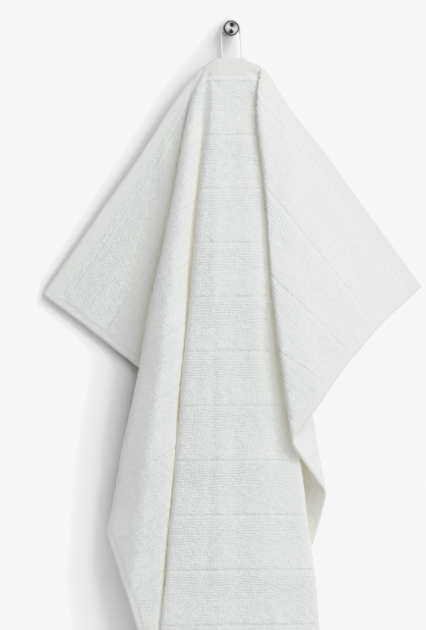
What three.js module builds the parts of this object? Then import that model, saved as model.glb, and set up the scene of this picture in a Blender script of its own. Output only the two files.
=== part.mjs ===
// Hand towel hanging by its sewn tape loop from a round steel wall peg.
// Millimetres, +Z up. The origin is the centre of the peg's flat wall face. The wall is the
// plane Y = 0, and everything stands in front of it, at negative Y.
import * as THREE from "three";

// The cloth, and where its top hem hangs.
const CLOTH_WIDTH = 500;
const CLOTH_LENGTH = 700;
const CLOTH_THICKNESS = 2.6;
const HEM_TOP_Z = -23.5;
const HANG_Y = -22;

// The top hem runs level only behind and beside the loop. Past each end of that level strip the
// cloth fans out from a gathering point, in folds that all start there.
const STRIP_LEFT = 17.1;
const STRIP_RIGHT = 21.8;

// Both tables give a fold's course at these distances from the gathering point.
const FOLD_STATIONS = [0, 30, 80, 150, 250, 400, 740];

// How far the middle of the front panel stands in front of the hanging plane at the stations.
const PANEL_FORWARD = [0, 2, 8, 16, 26, 31, 28];

// A row per fold line, from the level strip outward.
//   near, far: angle of the fold in the cloth, from straight down, at the top and lower down
//   out: angle of the fold as it hangs, from straight down, at the stations
//   forward: distance in front of the hanging plane at the stations
const LEFT_FOLDS = [
  {
    fold: "strip edge", near: 0, far: 0,
    out: [0, 0, 0, 0, 0, 0, 0],
    forward: PANEL_FORWARD,
  },
  {
    fold: "panel edge", near: 5.9, far: 5.9,
    out: [-3, -1, 4.4, 5.3, 5.5, 5.5, 5.5],
    forward: [0, 2, 7, 13, 22, 28, 26],
  },
  {
    fold: "panel return", near: 8.6, far: 8.6,
    out: [1, 1, 4.2, 4.7, 4.6, 4.3, 3.6],
    forward: [0, 1.2, 4, 7, 12, 16, 15],
  },
  {
    fold: "crease front", near: 15.6, far: 15.6,
    out: [9, 9, 3, 0.5, -1.4, -2.4, -2.9],
    forward: [0, 0, -0.5, 0.5, 2, 6, 12],
  },
  {
    fold: "crease back", near: 18.1, far: 18.1,
    out: [10, 10, 3.4, 0.8, -1.2, -2.2, -2.1],
    forward: [0, -0.5, -3, -5, -5, -1, 4],
  },
  {
    fold: "pleat return", near: 25.4, far: 25.4,
    out: [13, 13, 8.8, 7.2, 5.8, 5.1, 4.9],
    forward: [0, 0.5, 1, 4.5, 11, 13, 9],
  },
  {
    fold: "pleat edge", near: 27.8, far: 27.8,
    out: [14, 14, 9.8, 7.6, 6.4, 5.8, 5.7],
    forward: [0, 1.5, 5, 12, 22, 26, 22],
  },
  {
    fold: "pleat face", near: 32.2, far: 32.2,
    out: [17, 17, 13, 11.2, 10, 9.2, 9],
    forward: [0, 2.5, 8, 15.5, 26.5, 27, 20],
  },
  {
    fold: "pleat outer edge", near: 36.6, far: 36.6,
    out: [22, 22, 17.4, 14.7, 13.3, 12.5, 12],
    forward: [0, 2, 6, 11.5, 17, 16, 8],
  },
  {
    fold: "pleat back", near: 39.9, far: 39.9,
    out: [23, 23, 17.2, 14.5, 13, 12.1, 11.6],
    forward: [0, 0.8, 1.5, 2.5, 3, 1, -4],
  },
  {
    fold: "under fold front", near: 52.5, far: 52.5,
    out: [24.5, 24.5, 12, 5, 1.8, 0, 0],
    forward: [0, -1, -3.5, -6, -8, -9, -9],
  },
  {
    fold: "under fold back", near: 55, far: 55,
    out: [25.5, 25.5, 12.5, 5.2, 1.8, 0, 0],
    forward: [0, -2, -7, -11.5, -15, -16, -16],
  },
  {
    fold: "wing root", near: 66, far: 66,
    out: [29, 29, 20, 15, 13, 12.8, 12.8],
    forward: [0, -2, -7.5, -12.5, -16, -17, -17],
  },
  {
    fold: "top hem", near: 90, far: 90,
    out: [40, 40, 36.2, 35.4, 35.2, 35.2, 35.2],
    forward: [0, -2, -7, -12, -17, -17, -17],
  },
];

const RIGHT_FOLDS = [
  {
    fold: "strip edge", near: 0, far: 0,
    out: [0, 0, 0, 0, 0, 0, 0],
    forward: PANEL_FORWARD,
  },
  {
    fold: "panel edge", near: 6, far: 6,
    out: [1, 2, 3, 3.8, 4.9, 5.6, 5.9],
    forward: [0, 2, 5.5, 11, 19, 26, 26],
  },
  {
    fold: "panel return", near: 8.8, far: 8.8,
    out: [3.5, 3.5, 3.4, 3.8, 4.7, 5.4, 4.8],
    forward: [0, 1, 2.5, 5, 8, 9, 10],
  },
  {
    fold: "under panel", near: 12, far: 12,
    out: [5.4, 5.4, 3.6, 3.3, 3.8, 4, 1.6],
    forward: [0, 0.3, -0.5, -1.5, -3, -6, -1],
  },
  {
    fold: "back fold front", near: 20.8, far: 20.8,
    out: [7, 7, 1.5, -2.2, -4.5, -4.3, -7],
    forward: [0, -1, -2.5, -5.5, -8, -9, -4],
  },
  {
    fold: "back fold back", near: 22.3, far: 22.3,
    out: [7.8, 7.8, 1.9, -2.1, -4.5, -4.3, -7],
    forward: [0, -1.4, -5.5, -10.5, -14, -15, -12],
  },
  {
    fold: "outer return", near: 34.8, far: 34.8,
    out: [11, 11, 6.5, 5.6, 6.2, 6.2, 6.2],
    forward: [0, -1.5, -6, -11.5, -16, -14, -13],
  },
  {
    fold: "outer fold", near: 40.3, far: 40.3,
    out: [12, 12, 8.2, 7.8, 8.2, 9.2, 9.5],
    forward: [0, 0, 1, 3, 6, 4, 0],
  },
  {
    fold: "ridge back", near: 47.5, far: 44.3,
    out: [14, 13, 6.6, 6, 5.8, 6.4, 7],
    forward: [0, 4, 7.5, 13, 22, 24, 20],
  },
  {
    fold: "ridge front", near: 53, far: 47.2,
    out: [-16, -14, -2, 0.8, 2.8, 4.8, 5.6],
    forward: [0, 9.6, 15, 24, 38, 41, 36],
  },
  {
    fold: "near ridge", near: 57, far: 52.5,
    out: [-6, -5, 4, 5.6, 8.4, 9.4, 10],
    forward: [0, 9.2, 14.6, 23.5, 36.5, 37.5, 32],
  },
  {
    fold: "wing middle", near: 69, far: 67,
    out: [15, 15, 17, 17.6, 19.2, 20, 20],
    forward: [0, 4, 8, 14, 22, 20, 18],
  },
  {
    fold: "wing outer", near: 79, far: 77.5,
    out: [24, 24, 26, 26.4, 26, 26, 26],
    forward: [0, 0.5, 1, 3, 6, 4, 4],
  },
  {
    fold: "top hem", near: 90, far: 90,
    out: [31, 31, 35, 35.9, 36.3, 36.3, 36.3],
    forward: [0, -2, -6.5, -11, -16, -16, -16],
  },
];

// The gathered hem sinks at its shoulders: place across the cloth, drop and reach.
const SHOULDERS = [
  { place: -STRIP_LEFT, drop: 3, reach: 8 },
  { place: STRIP_RIGHT, drop: 5.5, reach: 10 },
];

// The fold lines move from their near to their far angles between these distances.
const DRIFT_START = 180;
const DRIFT_END = 330;

// A fold is rounded over this length of cloth to each side of its line.
const ROUNDING_MOST = 6.5;
const ROUNDING_BASE = 1.5;
const ROUNDING_GROWTH = 0.09;
const ROUNDING_TAPS = 9;

// How finely the cloth is divided.
const CLOTH_ROWS = 24;
const ROW_SPREAD = 1.25;
const STRIP_COLUMNS = 8;
const WIDEST_COLUMN = 3.6;
const HALF_ROW = 2;
const QUARTER_ROW = 1;

// The peg, turned from bar.
const PEG_RADIUS = 6.3;
const PEG_LENGTH = 20;
const PEG_EDGE = 0.5;
const PEG_GROOVE_RADIUS = 5.2;
const PEG_GROOVE_WIDTH = 0.4;
const PEG_GROOVE_DEPTH = 0.35;
const PEG_SEGMENTS = 48;

// The hanging loop, one length of woven tape over the peg.
const TAPE_WIDTH = 6;
const TAPE_THICKNESS = 1.1;
const TAPE_INNER = 7.15;
const TAPE_TOP_RADIUS = 7.15;
const TAPE_END_Z = -38;
const ARCH_STEPS = 14;

// Down each strand: height, depth in front of the wall, and turn of the tape from edge-on.
const STRAND = [
  { z: 0, y: -11.5, turn: 0 },
  { z: -7, y: -13.1, turn: 6 },
  { z: -14, y: -14.9, turn: 15 },
  { z: -20, y: -16.7, turn: 26 },
  { z: -23.5, y: -17.9, turn: 37 },
  { z: -26, y: -18.9, turn: 62 },
  { z: -29, y: -19.9, turn: 86 },
  { z: -33, y: -20.1, turn: 90 },
  { z: TAPE_END_Z, y: -20.1, turn: 90 },
];

const radians = THREE.MathUtils.degToRad;
const degrees = THREE.MathUtils.radToDeg;

// A smooth curve through the values at the stations.
function along(stations, values, at) {
  const last = stations.length - 1;
  const slope = (i) =>
    (values[i + 1] - values[i]) / (stations[i + 1] - stations[i]);
  const tangent = (i) => {
    if (i === 0) return slope(0);
    if (i === last) return slope(last - 1);
    const before = stations[i] - stations[i - 1];
    const after = stations[i + 1] - stations[i];
    return (slope(i - 1) * after + slope(i) * before) / (before + after);
  };
  let i = 0;
  while (i < last - 1 && at > stations[i + 1]) i += 1;
  const span = stations[i + 1] - stations[i];
  const t = THREE.MathUtils.clamp((at - stations[i]) / span, 0, 1);
  const t2 = t * t;
  const t3 = t2 * t;
  return (
    (2 * t3 - 3 * t2 + 1) * values[i] +
    (t3 - 2 * t2 + t) * span * tangent(i) +
    (3 * t2 - 2 * t3) * values[i + 1] +
    (t3 - t2) * span * tangent(i + 1)
  );
}

// Straight steps between the values of neighbouring folds.
function between(angles, values, at) {
  let i = 0;
  while (i < angles.length - 2 && at > angles[i + 1]) i += 1;
  const t = (at - angles[i]) / (angles[i + 1] - angles[i]);
  return values[i] + (values[i + 1] - values[i]) * t;
}

// The fold lines of one side at a distance from its gathering point.
function foldsAt(folds, distance) {
  const drift = THREE.MathUtils.smoothstep(distance, DRIFT_START, DRIFT_END);
  const reach = Math.max(distance, 1e-6);
  return {
    cloth: folds.map((row) => row.near + (row.far - row.near) * drift),
    out: folds.map((row) => along(FOLD_STATIONS, row.out, distance)),
    lift: folds.map((row) =>
      degrees(Math.asin(along(FOLD_STATIONS, row.forward, distance) / reach)),
    ),
  };
}

// How far the shoulders sink at a place in the cloth.
function sinkAt(across, down) {
  return SHOULDERS.reduce((sum, { place, drop, reach }) => {
    const away = ((across - place) ** 2 + down ** 2) / reach ** 2;
    return sum + drop * Math.exp(-away);
  }, 0);
}

// A point of one side's middle surface. Each fold line is an angle in the cloth, and the cloth
// keeps its distance from the gathering point however it is folded.
function fanPoint(side, distance, clothAngle) {
  const { cloth, out, lift } = foldsAt(side.folds, distance);
  const rounding = Math.min(
    ROUNDING_MOST,
    ROUNDING_BASE + ROUNDING_GROWTH * distance,
  );
  const halfWidth = degrees(rounding / Math.max(distance, 1));
  let outAngle = 0;
  let liftAngle = 0;
  let total = 0;
  for (let tap = 0; tap < ROUNDING_TAPS; tap += 1) {
    const offset = (2 * tap) / (ROUNDING_TAPS - 1) - 1;
    const weight = 1 - 0.9 * Math.abs(offset);
    const angle = clothAngle + offset * halfWidth;
    const mirrored = Math.abs(angle);
    outAngle += weight * Math.sign(angle) * between(cloth, out, mirrored);
    liftAngle += weight * between(cloth, lift, Math.min(mirrored, 90));
    total += weight;
  }
  const a = radians(outAngle / total);
  const b = radians(liftAngle / total);
  const sink = sinkAt(
    side.sign * (side.strip + distance * Math.sin(radians(clothAngle))),
    distance * Math.cos(radians(clothAngle)),
  );
  return new THREE.Vector3(
    side.sign * (side.strip + distance * Math.sin(a) * Math.cos(b)),
    HANG_Y - distance * Math.sin(b),
    HEM_TOP_Z - sink - distance * Math.cos(a) * Math.cos(b),
  );
}

function stripPoint(x, drop) {
  const forward = along(FOLD_STATIONS, PANEL_FORWARD, drop);
  const lift = Math.asin(forward / Math.max(drop, 1e-6));
  return new THREE.Vector3(
    x,
    HANG_Y - drop * Math.sin(lift),
    HEM_TOP_Z - sinkAt(x, drop) - drop * Math.cos(lift),
  );
}

const LEFT = { sign: -1, strip: STRIP_LEFT, folds: LEFT_FOLDS };
const RIGHT = { sign: 1, strip: STRIP_RIGHT, folds: RIGHT_FOLDS };

// From the gathering point to the edge of the cloth along a line at this angle.
function reachOf(side, clothAngle) {
  const toSide = CLOTH_WIDTH / 2 - side.strip;
  const a = radians(clothAngle);
  return Math.min(
    CLOTH_LENGTH / Math.max(Math.cos(a), 1e-9),
    toSide / Math.max(Math.sin(a), 1e-9),
  );
}

// The columns of one side: its folds, with even steps in between.
function columnsOf(side) {
  const columns = [];
  side.folds.slice(1).forEach((row, i) => {
    const gap = row.far - side.folds[i].far;
    const steps = Math.max(gap < 3 ? 2 : 1, Math.ceil(gap / WIDEST_COLUMN));
    for (let k = 0; k < steps; k += 1) columns.push(i + k / steps);
  });
  columns.push(side.folds.length - 1);
  const corner = degrees(
    Math.atan2(CLOTH_WIDTH / 2 - side.strip, CLOTH_LENGTH),
  );
  const place = between(
    side.folds.map((row) => row.far),
    side.folds.map((row, i) => i),
    corner,
  );
  const nearest = columns.reduce((best, column, i) =>
    Math.abs(column - place) < Math.abs(columns[best] - place) ? i : best,
  0);
  columns[nearest] = place;
  return columns;
}

// Where a column meets a row: a share of the way from the gathering point to the cloth's edge.
function onColumn(side, column, share) {
  const angleAt = (distance) => {
    const { cloth } = foldsAt(side.folds, distance);
    const i = Math.min(Math.floor(column), cloth.length - 2);
    return cloth[i] + (cloth[i + 1] - cloth[i]) * (column - i);
  };
  let distance = share * reachOf(side, side.folds[Math.floor(column)].far);
  for (let pass = 0; pass < 12; pass += 1)
    distance = share * reachOf(side, angleAt(distance));
  return { distance, clothAngle: angleAt(distance) };
}

// The middle surface and its forward normal at a place on one side.
function fanPlace(side, column, share) {
  const { distance, clothAngle } = onColumn(side, column, share);
  const step = Math.min(1, distance / 4);
  const turn = degrees(step / distance);
  const low = Math.max(clothAngle - turn, 0);
  const high = Math.min(clothAngle + turn, 90);
  const across = fanPoint(side, distance, high).sub(
    fanPoint(side, distance, low),
  );
  const down = fanPoint(side, distance + step, clothAngle).sub(
    fanPoint(side, distance - step, clothAngle),
  );
  const normal = across.cross(down).normalize();
  return {
    middle: fanPoint(side, distance, clothAngle),
    normal: side.sign > 0 ? normal.negate() : normal,
  };
}

function stripPlace(x, share) {
  const drop = share * CLOTH_LENGTH;
  const down = stripPoint(x, drop + 1).sub(stripPoint(x, Math.max(drop - 1, 0)));
  const normal = new THREE.Vector3(0, down.z, -down.y).normalize();
  return { middle: stripPoint(x, drop), normal };
}

// Joins two rows of places into triangles. The rows may have different numbers of places.
function joinRows(upper, lower, addTriangle) {
  let i = 0;
  let j = 0;
  while (i < upper.length - 1 || j < lower.length - 1) {
    const stepUpper =
      j === lower.length - 1 ||
      (i < upper.length - 1 && upper[i + 1].key <= lower[j + 1].key);
    if (stepUpper) {
      addTriangle(upper[i].id, lower[j].id, upper[i + 1].id);
      i += 1;
    } else {
      addTriangle(upper[i].id, lower[j].id, lower[j + 1].id);
      j += 1;
    }
  }
}

function buildCloth() {
  const left = columnsOf(LEFT);
  const right = columnsOf(RIGHT);
  const places = [];
  const keep = (place) => places.push(place) - 1;
  const rows = [];
  for (let row = 0; row <= CLOTH_ROWS; row += 1) {
    const share = (row / CLOTH_ROWS) ** ROW_SPREAD;
    const every = row === QUARTER_ROW ? 4 : row === HALF_ROW ? 2 : 1;
    const line = [];
    const addSide = (side, columns, outward) => {
      const used = columns.filter(
        (column, i) => i === columns.length - 1 || i % every === 0,
      );
      const inOrder = outward ? used : used.slice().reverse();
      inOrder
        .filter((column) => column > 0)
        .forEach((column) =>
          line.push({
            key: side.sign * (1 + column),
            id: keep(fanPlace(side, column, share)),
          }),
        );
    };
    if (row > 0) addSide(LEFT, left, false);
    for (let k = 0; k <= STRIP_COLUMNS; k += 1) {
      const t = k / STRIP_COLUMNS;
      const x = -STRIP_LEFT + (STRIP_LEFT + STRIP_RIGHT) * t;
      line.push({ key: 2 * t - 1, id: keep(stripPlace(x, share)) });
    }
    if (row > 0) addSide(RIGHT, right, true);
    rows.push(line);
  }

  // Front places first, then the back places in the same order.
  const count = places.length;
  const positions = [1, -1].flatMap((face) =>
    places.flatMap(({ middle, normal }) =>
      middle
        .clone()
        .addScaledVector(normal, (face * CLOTH_THICKNESS) / 2)
        .toArray(),
    ),
  );
  const index = [];
  for (let row = 0; row < CLOTH_ROWS; row += 1)
    joinRows(rows[row], rows[row + 1], (a, b, c) => {
      index.push(a, b, c);
      index.push(a + count, c + count, b + count);
    });
  const edge = [
    ...rows.map((line) => line[0].id),
    ...rows[CLOTH_ROWS].slice(1).map((place) => place.id),
    ...rows.slice(0, CLOTH_ROWS).reverse().map((line) => line.at(-1).id),
    ...rows[0].slice(1, -1).reverse().map((place) => place.id),
  ];
  edge.forEach((a, i) => {
    const b = edge[(i + 1) % edge.length];
    index.push(a, a + count, b);
    index.push(b, a + count, b + count);
  });
  const geometry = new THREE.BufferGeometry();
  geometry.setAttribute(
    "position",
    new THREE.Float32BufferAttribute(positions, 3),
  );
  geometry.setIndex(index);
  return geometry;
}

// The tape's stations from one end of the loop to the other, each with its middle, the
// direction across its width and the direction out of its face.
function tapeStations() {
  const strand = (sign) =>
    STRAND.map(({ z, y, turn }) => {
      const a = radians(turn);
      const halfSeen =
        (TAPE_WIDTH * Math.sin(a) + TAPE_THICKNESS * Math.cos(a)) / 2;
      return {
        middle: new THREE.Vector3(sign * (TAPE_INNER + halfSeen), y, z),
        across: new THREE.Vector3(-sign * Math.sin(a), -Math.cos(a), 0),
        outward: new THREE.Vector3(sign * Math.cos(a), -Math.sin(a), 0),
      };
    });
  const arch = [];
  const archHalf = TAPE_INNER + TAPE_THICKNESS / 2;
  for (let k = 1; k < ARCH_STEPS; k += 1) {
    const a = Math.PI * (1 - k / ARCH_STEPS);
    arch.push({
      middle: new THREE.Vector3(
        archHalf * Math.cos(a),
        STRAND[0].y,
        TAPE_TOP_RADIUS * Math.sin(a),
      ),
      across: new THREE.Vector3(0, -1, 0),
      outward: new THREE.Vector3(Math.cos(a), 0, Math.sin(a)),
    });
  }
  return [...strand(-1).reverse(), ...arch, ...strand(1)];
}

function buildTape() {
  const stations = tapeStations();
  const corners = [
    [1, 1],
    [1, -1],
    [-1, -1],
    [-1, 1],
  ];
  const positions = stations.flatMap(({ middle, across, outward }) =>
    corners.flatMap(([side, face]) =>
      middle
        .clone()
        .addScaledVector(across, (side * TAPE_WIDTH) / 2)
        .addScaledVector(outward, (face * TAPE_THICKNESS) / 2)
        .toArray(),
    ),
  );
  const index = [];
  for (let k = 0; k < stations.length - 1; k += 1)
    corners.forEach((corner, c) => {
      const next = (c + 1) % 4;
      const a = 4 * k + c;
      const b = 4 * k + next;
      index.push(a, b, a + 4);
      index.push(b, b + 4, a + 4);
    });
  const end = 4 * (stations.length - 1);
  index.push(0, 3, 1, 1, 3, 2);
  index.push(end, end + 1, end + 3, end + 1, end + 2, end + 3);
  const geometry = new THREE.BufferGeometry();
  geometry.setAttribute(
    "position",
    new THREE.Float32BufferAttribute(positions, 3),
  );
  geometry.setIndex(index);
  return geometry;
}

// The peg's outline from the middle of its front face to the middle of its wall face.
function buildPeg() {
  const inner = PEG_GROOVE_RADIUS - PEG_GROOVE_WIDTH / 2;
  const outer = PEG_GROOVE_RADIUS + PEG_GROOVE_WIDTH / 2;
  const bevel = PEG_EDGE * (1 - Math.SQRT1_2);
  const outline = [
    [0, PEG_LENGTH],
    [inner, PEG_LENGTH],
    [PEG_GROOVE_RADIUS, PEG_LENGTH - PEG_GROOVE_DEPTH],
    [outer, PEG_LENGTH],
    [PEG_RADIUS - PEG_EDGE, PEG_LENGTH],
    [PEG_RADIUS - bevel, PEG_LENGTH - bevel],
    [PEG_RADIUS, PEG_LENGTH - PEG_EDGE],
    [PEG_RADIUS, 0],
    [0, 0],
  ].map(([radius, height]) => new THREE.Vector2(radius, height));
  return new THREE.LatheGeometry(outline.reverse(), PEG_SEGMENTS);
}

function part(name, geometry, color, roughness, metalness) {
  const material = new THREE.MeshStandardMaterial({
    color,
    roughness,
    metalness,
  });
  const mesh = new THREE.Mesh(geometry, material);
  mesh.name = name;
  return mesh;
}

const peg = part("peg", buildPeg(), 0x9a9c9b, 0.3, 1);
peg.rotation.x = Math.PI;

const root = new THREE.Group();
root.name = "hand_towel_and_wall_peg";
root.add(
  part("towel", buildCloth(), 0xe9ebe8, 0.95, 0),
  part("hanging_loop", buildTape(), 0xdedfd9, 0.85, 0),
  peg,
);

export default root;
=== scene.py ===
import math

import bmesh
import bpy
import numpy as np
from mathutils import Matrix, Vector


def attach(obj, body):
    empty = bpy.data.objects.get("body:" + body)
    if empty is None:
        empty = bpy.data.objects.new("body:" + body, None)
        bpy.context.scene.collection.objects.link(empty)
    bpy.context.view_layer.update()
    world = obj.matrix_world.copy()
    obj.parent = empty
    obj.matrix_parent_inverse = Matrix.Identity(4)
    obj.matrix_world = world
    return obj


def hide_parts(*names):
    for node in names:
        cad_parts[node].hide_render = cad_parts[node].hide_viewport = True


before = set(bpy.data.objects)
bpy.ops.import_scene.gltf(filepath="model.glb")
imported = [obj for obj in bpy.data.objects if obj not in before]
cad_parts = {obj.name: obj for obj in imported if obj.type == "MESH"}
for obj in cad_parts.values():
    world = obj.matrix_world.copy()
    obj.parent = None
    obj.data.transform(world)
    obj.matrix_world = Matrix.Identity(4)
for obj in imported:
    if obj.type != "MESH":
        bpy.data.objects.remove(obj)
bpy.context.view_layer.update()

RNG = np.random.default_rng(945)
MM = 0.001

# Camera: the photograph's frame is 426 x 630 pixels, and a pixel is 0.806 mm at the mount.
FRAME_W, FRAME_H = 426, 630
PIXEL = 0.806 * MM
PEG_PIXEL = (228.6, 30.0)
CAMERA_AZIMUTH = math.radians(-6.5)
CAMERA_DISTANCE = 3.0
CLIP_NEAR, CLIP_FAR = 0.05, 20.0


def add_camera():
    """A long lens a little to the left, with the peg at its place in the photograph."""
    back = Vector((math.sin(CAMERA_AZIMUTH), -math.cos(CAMERA_AZIMUTH), 0.0))
    right = Vector((math.cos(CAMERA_AZIMUTH), math.sin(CAMERA_AZIMUTH), 0.0))
    aim = (right * (FRAME_W / 2 - PEG_PIXEL[0]) * PIXEL
           - Vector((0, 0, 1)) * (FRAME_H / 2 - PEG_PIXEL[1]) * PIXEL)
    data = bpy.data.cameras.new("camera")
    data.sensor_fit = "VERTICAL"
    data.angle = 2 * math.atan(FRAME_H / 2 * PIXEL / CAMERA_DISTANCE)
    data.clip_start, data.clip_end = CLIP_NEAR, CLIP_FAR
    camera = bpy.data.objects.new("camera", data)
    bpy.context.scene.collection.objects.link(camera)
    camera.location = aim + back * CAMERA_DISTANCE
    camera.rotation_euler = (-back).to_track_quat("-Z", "Y").to_euler()
    bpy.context.scene.camera = camera


add_camera()

# The cloth as it hangs, in millimetres until the meshes are made. The cloth's own coordinates
# are across, from the middle of the top hem, and down, from the top hem.
CLOTH_HALF = 250.0
CLOTH_LENGTH = 700.0
CLOTH_THICKNESS = 2.6
HEM_TOP_Z = -23.5
HANG_Y = -22.0
# The strip of the top hem that hangs level ends at the two gathering points.
STRIP_LEFT, STRIP_RIGHT = 17.1, 21.8

# Distances from a gathering point at which the folds are given.
STATIONS = (0, 30, 80, 150, 250, 400, 740)
PANEL_FORWARD = (0, 2, 8, 16, 26, 31, 28)

# A row per fold line: its angle in the cloth near the top and lower down, and at the stations
# its angle as it hangs and how far it stands in front of the hanging plane.
LEFT_FOLDS = (
    (0, 0, (0, 0, 0, 0, 0, 0, 0), PANEL_FORWARD),
    (5.9, 5.9, (-3, -1, 4.4, 5.3, 5.5, 5.5, 5.5), (0, 2, 7, 13, 22, 28, 26)),
    (8.6, 8.6, (1, 1, 4.2, 4.7, 4.6, 4.3, 3.6), (0, 1.2, 4, 7, 12, 16, 15)),
    (15.6, 15.6, (9, 9, 3, 0.5, -1.4, -2.4, -2.9), (0, -0.5, -2.5, -2, 1, 6, 12)),
    (18.1, 18.1, (10, 10, 3.4, 0.8, -1.2, -2.2, -2.1), (0, -1, -5, -7.5, -6.5, -1, 4)),
    (25.4, 25.4, (13, 13, 8.8, 7.2, 5.8, 5.1, 4.9), (0, 0.5, 1, 4.5, 11, 13, 9)),
    (27.8, 27.8, (14, 14, 9.8, 7.6, 6.4, 5.8, 5.7), (0, 1.5, 5, 12, 22, 26, 22)),
    (32.2, 32.2, (17, 17, 13, 11.2, 10, 9.2, 9), (0, 2.5, 8, 15.5, 26.5, 27, 20)),
    (36.6, 36.6, (22, 22, 17.4, 14.7, 13.3, 12.5, 12), (0, 2, 6, 11.5, 17, 16, 8)),
    (39.9, 39.9, (23, 23, 17.2, 14.5, 13, 12.1, 11.6), (0, 0.8, 1.5, 2.5, 3, 1, -4)),
    (52.5, 52.5, (24.5, 24.5, 12, 5, 1.8, 0, 0), (0, -1, -3.5, -6, -8, -9, -9)),
    (55, 55, (25.5, 25.5, 12.5, 5.2, 1.8, 0, 0), (0, -2, -7, -11.5, -15, -16, -16)),
    (66, 66, (29, 29, 20, 15, 13, 12.8, 12.8), (0, -2, -7.5, -12.5, -16, -17, -17)),
    (90, 90, (40, 40, 36.2, 35.4, 35.2, 35.2, 35.2), (0, -2, -7, -12, -17, -17, -17)),
)
RIGHT_FOLDS = (
    (0, 0, (0, 0, 0, 0, 0, 0, 0), PANEL_FORWARD),
    (6, 6, (1, 2, 3, 3.8, 4.9, 5.6, 5.9), (0, 2, 5.5, 11, 19, 26, 26)),
    (8.8, 8.8, (3.5, 3.5, 3.4, 3.8, 4.7, 5.4, 4.8), (0, 1, 2.5, 5, 8, 9, 10)),
    (12, 12, (5.4, 5.4, 3.6, 3.3, 3.8, 4, 1.6), (0, 0.3, -0.5, -1.5, -3, -6, -1)),
    (20.8, 20.8, (7, 7, 1.5, -2.2, -4.5, -4.3, -7), (0, -1, -2.5, -5.5, -8, -9, -4)),
    (22.3, 22.3, (7.8, 7.8, 1.9, -2.1, -4.5, -4.3, -7), (0, -1.4, -5.5, -10.5, -14, -15, -12)),
    (34.8, 34.8, (11, 11, 6.5, 5.6, 6.2, 6.2, 6.2), (0, -1.5, -6, -11.5, -16, -14, -13)),
    (40.3, 40.3, (12, 12, 8.2, 7.8, 8.2, 9.2, 9.5), (0, 0, 1, 3, 6, 4, 0)),
    (47.5, 44.3, (14, 13, 6.6, 6, 5.8, 6.4, 7), (0, 4, 7.5, 13, 22, 24, 20)),
    (53, 47.2, (-16, -14, -2, 0.8, 2.8, 4.8, 5.6), (0, 9.6, 15, 24, 38, 41, 36)),
    (57, 52.5, (-6, -5, 4, 5.6, 8.4, 9.4, 10), (0, 9.2, 14.6, 23.5, 36.5, 37.5, 32)),
    (69, 67, (15, 15, 17, 17.6, 19.2, 20, 20), (0, 4, 8, 14, 22, 20, 18)),
    (79, 77.5, (24, 24, 26, 26.4, 26, 26, 26), (0, 0.5, 1, 3, 6, 4, 4)),
    (90, 90, (31, 31, 35, 35.9, 36.3, 36.3, 36.3), (0, -2, -6.5, -11, -16, -16, -16)),
)
# Where a fold line moves from its first angle in the cloth to its second.
DRIFT_START, DRIFT_END = 180.0, 330.0
# The top hem's shoulders: place across the cloth, drop and reach.
SHOULDERS = ((-STRIP_LEFT, 3.0, 8.0), (STRIP_RIGHT, 5.5, 10.0))
# Folds are rounded by averaging over a width that grows with the distance.
ROUNDING_MOST, ROUNDING_BASE, ROUNDING_GROWTH = 6.5, 1.5, 0.09
ROUNDING_TAPS, ROUNDING_FALL = 17, 0.9


def smooth(t):
    """Eases from 0 to 1 as t does."""
    t = np.clip(t, 0, 1)
    return t * t * (3 - 2 * t)


def along(values, at):
    """A smooth curve through the values at the stations."""
    xs, ys = np.array(STATIONS, float), np.array(values, float)
    slope = np.diff(ys) / np.diff(xs)
    gaps = np.diff(xs)
    tangent = np.concatenate([
        slope[:1],
        (slope[:-1] * gaps[1:] + slope[1:] * gaps[:-1]) / (gaps[1:] + gaps[:-1]),
        slope[-1:],
    ])
    i = np.clip(np.searchsorted(xs, at) - 1, 0, len(xs) - 2)
    h = gaps[i]
    t = np.clip((at - xs[i]) / h, 0, 1)
    return ((2 * t**3 - 3 * t**2 + 1) * ys[i] + (t**3 - 2 * t**2 + t) * h * tangent[i]
            + (3 * t**2 - 2 * t**3) * ys[i + 1] + (t**3 - t**2) * h * tangent[i + 1])


def fan(folds, sign, strip, distance, angle):
    """Points of one side's middle surface, from distance and angle about its gathering point."""
    drift = smooth((distance - DRIFT_START) / (DRIFT_END - DRIFT_START))
    reach = np.maximum(distance, 1e-6)
    cloth = np.stack([near + (far - near) * drift for near, far, _, _ in folds])
    out = np.stack([along(o, distance) for _, _, o, _ in folds])
    lift = np.stack([np.degrees(np.arcsin(along(f, distance) / reach))
                     for _, _, _, f in folds])
    rounding = np.minimum(ROUNDING_MOST, ROUNDING_BASE + ROUNDING_GROWTH * distance)
    half_width = np.degrees(rounding / np.maximum(distance, 1.0))
    out_angle = np.zeros_like(distance)
    lift_angle = np.zeros_like(distance)
    total = 0.0
    column = np.arange(len(distance))
    for tap in np.linspace(-1, 1, ROUNDING_TAPS):
        weight = 1 - ROUNDING_FALL * abs(tap)
        at = angle + tap * half_width
        q = np.abs(at)
        i = (q[None] > cloth[1:-1]).sum(0)
        low, high = cloth[i, column], cloth[i + 1, column]
        t = (q - low) / (high - low)
        # past the last fold line the angle goes on growing and the lift stays
        capped = np.minimum(t, 1)
        out_angle += weight * np.where(at < 0, -1, 1) * (
            out[i, column] + (out[i + 1, column] - out[i, column]) * t)
        lift_angle += weight * (
            lift[i, column] + (lift[i + 1, column] - lift[i, column]) * capped)
        total += weight
    a, b = np.radians(out_angle / total), np.radians(lift_angle / total)
    return np.stack([
        sign * (strip + distance * np.sin(a) * np.cos(b)),
        HANG_Y - distance * np.sin(b),
        HEM_TOP_Z - distance * np.cos(a) * np.cos(b),
    ], -1)


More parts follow.
